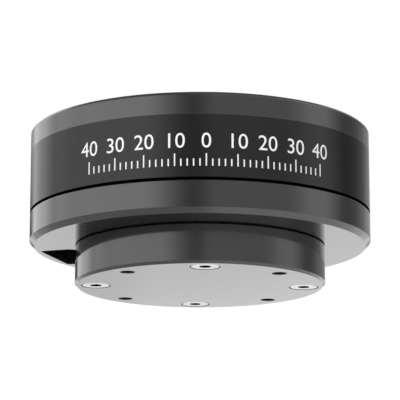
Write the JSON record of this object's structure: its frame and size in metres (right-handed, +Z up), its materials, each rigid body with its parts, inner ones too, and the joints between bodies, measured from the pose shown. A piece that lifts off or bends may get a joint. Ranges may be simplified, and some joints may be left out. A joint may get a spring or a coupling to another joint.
{
  "type": "gimbal motor",
  "caption": "Flat brushless outrunner gimbal motor: round rotor over a fixed base, with a narrower encoder neck and flat mounting face below and a hollow shaft.",
  "frame": {"origin": "centre of the flat mounting face under the encoder neck", "axes": "+Z up along the spin axis towards the rotor cap, -X through the middle of the cable window"},
  "size_m": [0.069, 0.069, 0.0313],
  "materials": {
    "anodised_black": "black anodised, fine satin with a clear glossy sheen",
    "coated_ring_steel": "black coated steel, smooth, satin gloss",
    "plated_magnet": "nickel plated",
    "shaft_steel": "turned and ground stainless steel",
    "bright_screw_steel": "bright zinc plated",
    "spring_steel": "blackened spring steel",
    "plug_aluminium": "turned, plain",
    "bearing_steel": "ground bearing steel",
    "shield_steel": "pressed sheet steel",
    "cage_nylon": "moulded nylon",
    "lamination_steel": "stacked sheets, bonded and varnished",
    "enamelled_copper": "enamelled wire, varnished",
    "board_laminate": "solder mask over glass laminate",
    "chip_moulding": "moulded epoxy with tinned leads",
    "header_plastic": "moulded nylon",
    "contact_metal": "gold flashed",
    "capacitor_ceramic": "fired ceramic with tinned ends"
  },
  "bodies": {
    "stator": {"stator_base": "anodised_black", "stator_core": "lamination_steel", "phase_a_coils": "enamelled_copper", "phase_b_coils": "enamelled_copper", "phase_c_coils": "enamelled_copper", "upper_bearing_outer_ring": "bearing_steel", "lower_bearing_outer_ring": "bearing_steel", "upper_bearing_shields": "shield_steel", "lower_bearing_shields": "shield_steel", "encoder_cover": "anodised_black", "cover_screws": "bright_screw_steel", "encoder_board": "board_laminate", "board_screws": "bright_screw_steel", "encoder_chip": "chip_moulding", "board_connector": "header_plastic", "connector_pins": "contact_metal", "board_capacitors": "capacitor_ceramic"},
    "rotor": {"rotor_cap": "anodised_black", "flux_ring": "coated_ring_steel", "rotor_magnets": "plated_magnet", "shaft": "shaft_steel", "shaft_screws": "bright_screw_steel", "bearing_spacer": "shaft_steel", "preload_shim": "shaft_steel", "shaft_clip": "spring_steel", "magnet_plug": "plug_aluminium", "encoder_magnet": "plated_magnet", "upper_bearing_inner_ring": "bearing_steel", "lower_bearing_inner_ring": "bearing_steel"},
    "ball_cages": {"upper_bearing_balls": "bearing_steel", "upper_bearing_cage": "cage_nylon", "lower_bearing_balls": "bearing_steel", "lower_bearing_cage": "cage_nylon"}
  },
  "joints": [
    {"name": "rotor_spin", "type": "hinge", "parent": "stator", "child": "rotor", "pos_m": [0, 0, 0], "axis": [0, 0, 1], "continuous": true},
    {"name": "ball_cage_spin", "type": "hinge", "parent": "stator", "child": "ball_cages", "pos_m": [0, 0, 0], "axis": [0, 0, 1], "continuous": true}
  ],
  "couplings": [
    {"joint": "ball_cage_spin", "follows": "rotor_spin", "ratio": 0.44872}
  ]
}
